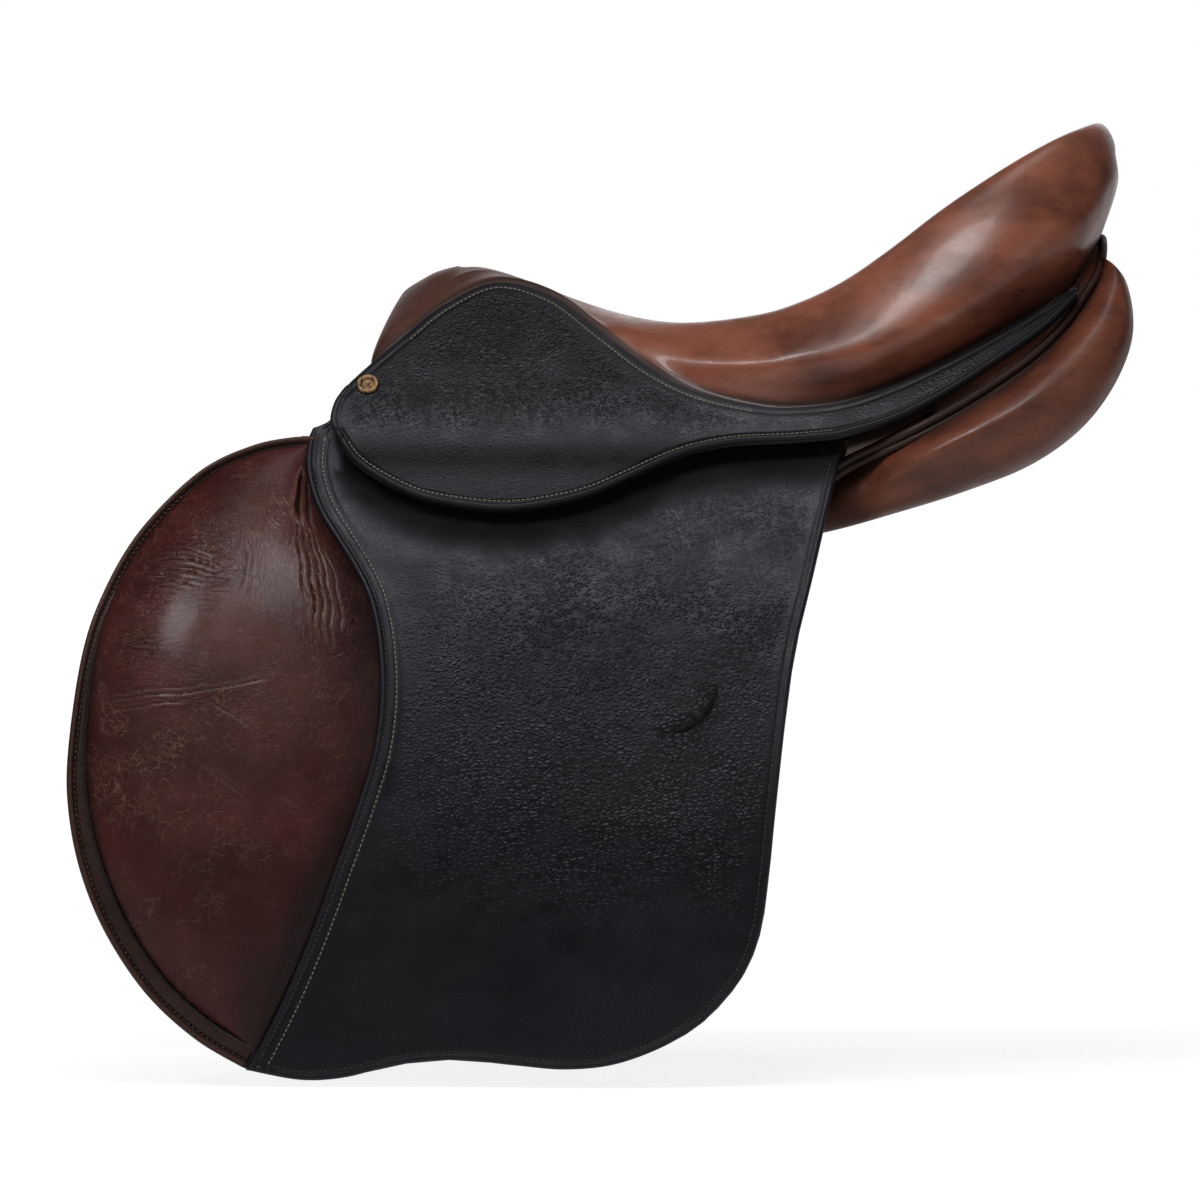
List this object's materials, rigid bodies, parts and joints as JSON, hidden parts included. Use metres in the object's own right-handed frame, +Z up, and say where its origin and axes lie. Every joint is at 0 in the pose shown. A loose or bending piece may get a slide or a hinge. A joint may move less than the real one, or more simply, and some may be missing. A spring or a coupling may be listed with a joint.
{
  "type": "jumping saddle",
  "caption": "English jumping saddle: deep padded seat on a spring tree, forward flaps with knee pads, folding skirts, stirrup bars, girth straps and flocked panels.",
  "frame": {"origin": "on the middle plane in the spine channel, under the seat's lowest point", "axes": "+X from pommel to cantle, the left side at -Y, +Z up"},
  "size_m": [0.5921, 0.4256, 0.534],
  "materials": {
    "seat_leather": "smooth waxed calf, reddish brown with a worn patina",
    "panel_leather": "soft waxed calf over flocking, glossy",
    "pad_leather": "creased dark red-brown calf, satin",
    "flap_leather": "pebbled black buffalo, satin",
    "skirt_leather": "pebbled black buffalo, satin",
    "binding_leather": "rolled dark brown leather edge",
    "lining_leather": "matte dark lining leather",
    "strap_leather": "matte dark bridle leather",
    "beech": "laminated beech, sealed",
    "steel": "satin steel",
    "antique_brass": "antique brass",
    "webbing": "linen webbing",
    "foam": "latex foam"
  },
  "bodies": {
    "root": {"tree_head": "beech", "head_plate": "steel", "gullet_plate": "steel", "pommel_facing": "flap_leather", "left_tree_rail": "beech", "right_tree_rail": "beech", "left_rail_spring": "steel", "right_rail_spring": "steel", "tree_cantle": "beech", "tree_rivets": "steel", "left_stirrup_bar": "steel", "right_stirrup_bar": "steel", "stirrup_bar_rivets": "steel", "left_catch_pin": "steel", "right_catch_pin": "steel", "cross_webs": "webbing", "straining_web": "webbing", "seat_foam": "foam", "seat_cover": "seat_leather", "left_skirt_top": "skirt_leather", "right_skirt_top": "skirt_leather", "skirt_nails": "antique_brass", "left_flap_top": "flap_leather", "right_flap_top": "flap_leather", "flap_nails": "steel", "left_panel": "panel_leather", "right_panel": "panel_leather", "cantle_welt": "panel_leather", "left_cantle_band": "panel_leather", "right_cantle_band": "panel_leather", "left_sweat_flap": "lining_leather", "right_sweat_flap": "lining_leather", "left_girth_web": "webbing", "right_girth_web": "webbing"},
    "left_flap": {"left_flap_lining": "lining_leather", "left_flap": "flap_leather", "left_knee_pad": "pad_leather", "left_pad_binding": "binding_leather"},
    "left_skirt": {"left_skirt": "skirt_leather"},
    "left_bar_catch": {"left_bar_catch": "steel"},
    "left_girth_straps": {"left_front_strap": "strap_leather", "left_middle_strap": "strap_leather", "left_rear_strap": "strap_leather"},
    "left_buckle_guard": {"left_buckle_guard": "strap_leather"},
    "right_flap": {"right_flap_lining": "lining_leather", "right_flap": "flap_leather", "right_knee_pad": "pad_leather", "right_pad_binding": "binding_leather"},
    "right_skirt": {"right_skirt": "skirt_leather"},
    "right_bar_catch": {"right_bar_catch": "steel"},
    "right_girth_straps": {"right_front_strap": "strap_leather", "right_middle_strap": "strap_leather", "right_rear_strap": "strap_leather"},
    "right_buckle_guard": {"right_buckle_guard": "strap_leather"}
  },
  "joints": [
    {"name": "left_flap_lift", "type": "hinge", "parent": "root", "child": "left_flap", "pos_m": [0.0021, -0.12598, 0.036], "axis": [-0.9962, 0.0872, 0], "range_deg": [0, 90]},
    {"name": "left_skirt_lift", "type": "hinge", "parent": "left_flap", "child": "left_skirt", "pos_m": [0.0021, -0.12598, 0.036], "axis": [-0.9962, 0.0872, 0], "range_deg": [0, 70]},
    {"name": "left_catch_tip", "type": "hinge", "parent": "root", "child": "left_bar_catch", "pos_m": [-0.06992, -0.0806, 0.066], "axis": [-0.0711, -0.8124, 0.5787], "range_deg": [0, 75]},
    {"name": "left_strap_swing", "type": "hinge", "parent": "root", "child": "left_girth_straps", "pos_m": [-0.02703, -0.09182, 0.03], "axis": [-0.0736, -0.8411, 0.5359], "range_deg": [-4, 4]},
    {"name": "left_guard_slide", "type": "hinge", "parent": "left_girth_straps", "child": "left_buckle_guard", "pos_m": [0.0529, 0.45469, -0.32], "axis": [-0.9962, 0.0872, 0], "range_deg": [-2, 2]},
    {"name": "right_flap_lift", "type": "hinge", "parent": "root", "child": "right_flap", "pos_m": [0.0021, 0.12598, 0.036], "axis": [0.9962, 0.0872, 0], "range_deg": [0, 90]},
    {"name": "right_skirt_lift", "type": "hinge", "parent": "right_flap", "child": "right_skirt", "pos_m": [0.0021, 0.12598, 0.036], "axis": [0.9962, 0.0872, 0], "range_deg": [0, 70]},
    {"name": "right_catch_tip", "type": "hinge", "parent": "root", "child": "right_bar_catch", "pos_m": [-0.06992, 0.0806, 0.066], "axis": [0.0711, -0.8124, -0.5787], "range_deg": [0, 75]},
    {"name": "right_strap_swing", "type": "hinge", "parent": "root", "child": "right_girth_straps", "pos_m": [-0.02703, 0.09182, 0.03], "axis": [0.0736, -0.8411, -0.5359], "range_deg": [-4, 4]},
    {"name": "right_guard_slide", "type": "hinge", "parent": "right_girth_straps", "child": "right_buckle_guard", "pos_m": [0.0529, -0.45469, -0.32], "axis": [0.9962, 0.0872, 0], "range_deg": [-2, 2]}
  ]
}
